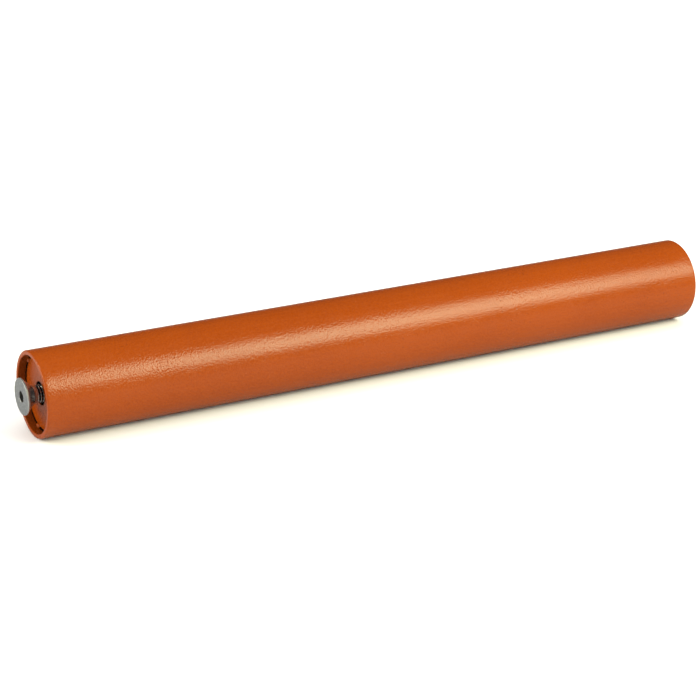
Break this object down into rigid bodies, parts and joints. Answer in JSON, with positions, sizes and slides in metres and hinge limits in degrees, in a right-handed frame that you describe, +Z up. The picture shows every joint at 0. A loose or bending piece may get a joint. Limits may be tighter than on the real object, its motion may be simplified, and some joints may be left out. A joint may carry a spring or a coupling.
{
  "type": "brayer roller",
  "caption": "Long painted steel roller tube that spins on ball bearings over a fixed axle, with a countersunk socket screw standing out of each recessed end.",
  "frame": {"origin": "the middle of the drum, on its spin axis", "axes": "+X along the spin axis towards the right end, +Z up, +Y completes a right-handed set"},
  "size_m": [0.432, 0.0482, 0.0482],
  "materials": {
    "orange_paint": "gloss paint with a fine orange-peel grain",
    "zinc_plate": "dull zinc plating",
    "bright_steel": "turned, lightly oiled",
    "bearing_steel": "ground and polished",
    "cage_steel": "pressed sheet",
    "black_steel": "black oxide"
  },
  "bodies": {
    "axle_assembly": {"axle": "bright_steel", "left_bearing_inner_ring": "bearing_steel", "left_retaining_ring": "black_steel", "left_end_screw": "zinc_plate", "right_bearing_inner_ring": "bearing_steel", "right_retaining_ring": "black_steel", "right_end_screw": "zinc_plate"},
    "drum": {"drum_tube": "orange_paint", "left_end_disc": "orange_paint", "left_tack_weld_1": "orange_paint", "left_tack_weld_2": "orange_paint", "left_tack_weld_3": "orange_paint", "left_bearing_hub": "black_steel", "left_bearing_outer_ring": "bearing_steel", "left_outer_shield": "zinc_plate", "left_inner_shield": "zinc_plate", "right_end_disc": "orange_paint", "right_tack_weld_1": "orange_paint", "right_tack_weld_2": "orange_paint", "right_tack_weld_3": "orange_paint", "right_bearing_hub": "black_steel", "right_bearing_outer_ring": "bearing_steel", "right_outer_shield": "zinc_plate", "right_inner_shield": "zinc_plate"},
    "left_cage": {"left_ball_cage": "cage_steel"},
    "left_rolling_ball_1": {"left_ball_1": "bearing_steel"},
    "left_rolling_ball_2": {"left_ball_2": "bearing_steel"},
    "left_rolling_ball_3": {"left_ball_3": "bearing_steel"},
    "left_rolling_ball_4": {"left_ball_4": "bearing_steel"},
    "left_rolling_ball_5": {"left_ball_5": "bearing_steel"},
    "left_rolling_ball_6": {"left_ball_6": "bearing_steel"},
    "left_rolling_ball_7": {"left_ball_7": "bearing_steel"},
    "left_rolling_ball_8": {"left_ball_8": "bearing_steel"},
    "right_cage": {"right_ball_cage": "cage_steel"},
    "right_rolling_ball_1": {"right_ball_1": "bearing_steel"},
    "right_rolling_ball_2": {"right_ball_2": "bearing_steel"},
    "right_rolling_ball_3": {"right_ball_3": "bearing_steel"},
    "right_rolling_ball_4": {"right_ball_4": "bearing_steel"},
    "right_rolling_ball_5": {"right_ball_5": "bearing_steel"},
    "right_rolling_ball_6": {"right_ball_6": "bearing_steel"},
    "right_rolling_ball_7": {"right_ball_7": "bearing_steel"},
    "right_rolling_ball_8": {"right_ball_8": "bearing_steel"}
  },
  "joints": [
    {"name": "drum_spin", "type": "hinge", "parent": "axle_assembly", "child": "drum", "pos_m": [0, 0, 0], "axis": [1, 0, 0], "continuous": true},
    {"name": "left_cage_spin", "type": "hinge", "parent": "axle_assembly", "child": "left_cage", "pos_m": [0, 0, 0], "axis": [1, 0, 0], "continuous": true},
    {"name": "left_ball_1_roll", "type": "hinge", "parent": "left_cage", "child": "left_rolling_ball_1", "pos_m": [-0.1949, 0, 0.0125], "axis": [1, 0, 0], "continuous": true},
    {"name": "left_ball_2_roll", "type": "hinge", "parent": "left_cage", "child": "left_rolling_ball_2", "pos_m": [-0.1949, 0.00884, 0.00884], "axis": [1, 0, 0], "continuous": true},
    {"name": "left_ball_3_roll", "type": "hinge", "parent": "left_cage", "child": "left_rolling_ball_3", "pos_m": [-0.1949, 0.0125, 0], "axis": [1, 0, 0], "continuous": true},
    {"name": "left_ball_4_roll", "type": "hinge", "parent": "left_cage", "child": "left_rolling_ball_4", "pos_m": [-0.1949, 0.00884, -0.00884], "axis": [1, 0, 0], "continuous": true},
    {"name": "left_ball_5_roll", "type": "hinge", "parent": "left_cage", "child": "left_rolling_ball_5", "pos_m": [-0.1949, 0, -0.0125], "axis": [1, 0, 0], "continuous": true},
    {"name": "left_ball_6_roll", "type": "hinge", "parent": "left_cage", "child": "left_rolling_ball_6", "pos_m": [-0.1949, -0.00884, -0.00884], "axis": [1, 0, 0], "continuous": true},
    {"name": "left_ball_7_roll", "type": "hinge", "parent": "left_cage", "child": "left_rolling_ball_7", "pos_m": [-0.1949, -0.0125, 0], "axis": [1, 0, 0], "continuous": true},
    {"name": "left_ball_8_roll", "type": "hinge", "parent": "left_cage", "child": "left_rolling_ball_8", "pos_m": [-0.1949, -0.00884, 0.00884], "axis": [1, 0, 0], "continuous": true},
    {"name": "right_cage_spin", "type": "hinge", "parent": "axle_assembly", "child": "right_cage", "pos_m": [0, 0, 0], "axis": [1, 0, 0], "continuous": true},
    {"name": "right_ball_1_roll", "type": "hinge", "parent": "right_cage", "child": "right_rolling_ball_1", "pos_m": [0.1949, 0, 0.0125], "axis": [1, 0, 0], "continuous": true},
    {"name": "right_ball_2_roll", "type": "hinge", "parent": "right_cage", "child": "right_rolling_ball_2", "pos_m": [0.1949, -0.00884, 0.00884], "axis": [1, 0, 0], "continuous": true},
    {"name": "right_ball_3_roll", "type": "hinge", "parent": "right_cage", "child": "right_rolling_ball_3", "pos_m": [0.1949, -0.0125, 0], "axis": [1, 0, 0], "continuous": true},
    {"name": "right_ball_4_roll", "type": "hinge", "parent": "right_cage", "child": "right_rolling_ball_4", "pos_m": [0.1949, -0.00884, -0.00884], "axis": [1, 0, 0], "continuous": true},
    {"name": "right_ball_5_roll", "type": "hinge", "parent": "right_cage", "child": "right_rolling_ball_5", "pos_m": [0.1949, 0, -0.0125], "axis": [1, 0, 0], "continuous": true},
    {"name": "right_ball_6_roll", "type": "hinge", "parent": "right_cage", "child": "right_rolling_ball_6", "pos_m": [0.1949, 0.00884, -0.00884], "axis": [1, 0, 0], "continuous": true},
    {"name": "right_ball_7_roll", "type": "hinge", "parent": "right_cage", "child": "right_rolling_ball_7", "pos_m": [0.1949, 0.0125, 0], "axis": [1, 0, 0], "continuous": true},
    {"name": "right_ball_8_roll", "type": "hinge", "parent": "right_cage", "child": "right_rolling_ball_8", "pos_m": [0.1949, 0.00884, 0.00884], "axis": [1, 0, 0], "continuous": true}
  ],
  "couplings": [
    {"joint": "left_cage_spin", "follows": "drum_spin", "ratio": 0.619},
    {"joint": "left_ball_1_roll", "follows": "drum_spin", "ratio": 1.9818},
    {"joint": "left_ball_2_roll", "follows": "drum_spin", "ratio": 1.9818},
    {"joint": "left_ball_3_roll", "follows": "drum_spin", "ratio": 1.9818},
    {"joint": "left_ball_4_roll", "follows": "drum_spin", "ratio": 1.9818},
    {"joint": "left_ball_5_roll", "follows": "drum_spin", "ratio": 1.9818},
    {"joint": "left_ball_6_roll", "follows": "drum_spin", "ratio": 1.9818},
    {"joint": "left_ball_7_roll", "follows": "drum_spin", "ratio": 1.9818},
    {"joint": "left_ball_8_roll", "follows": "drum_spin", "ratio": 1.9818},
    {"joint": "right_cage_spin", "follows": "drum_spin", "ratio": 0.619},
    {"joint": "right_ball_1_roll", "follows": "drum_spin", "ratio": 1.9818},
    {"joint": "right_ball_2_roll", "follows": "drum_spin", "ratio": 1.9818},
    {"joint": "right_ball_3_roll", "follows": "drum_spin", "ratio": 1.9818},
    {"joint": "right_ball_4_roll", "follows": "drum_spin", "ratio": 1.9818},
    {"joint": "right_ball_5_roll", "follows": "drum_spin", "ratio": 1.9818},
    {"joint": "right_ball_6_roll", "follows": "drum_spin", "ratio": 1.9818},
    {"joint": "right_ball_7_roll", "follows": "drum_spin", "ratio": 1.9818},
    {"joint": "right_ball_8_roll", "follows": "drum_spin", "ratio": 1.9818}
  ]
}
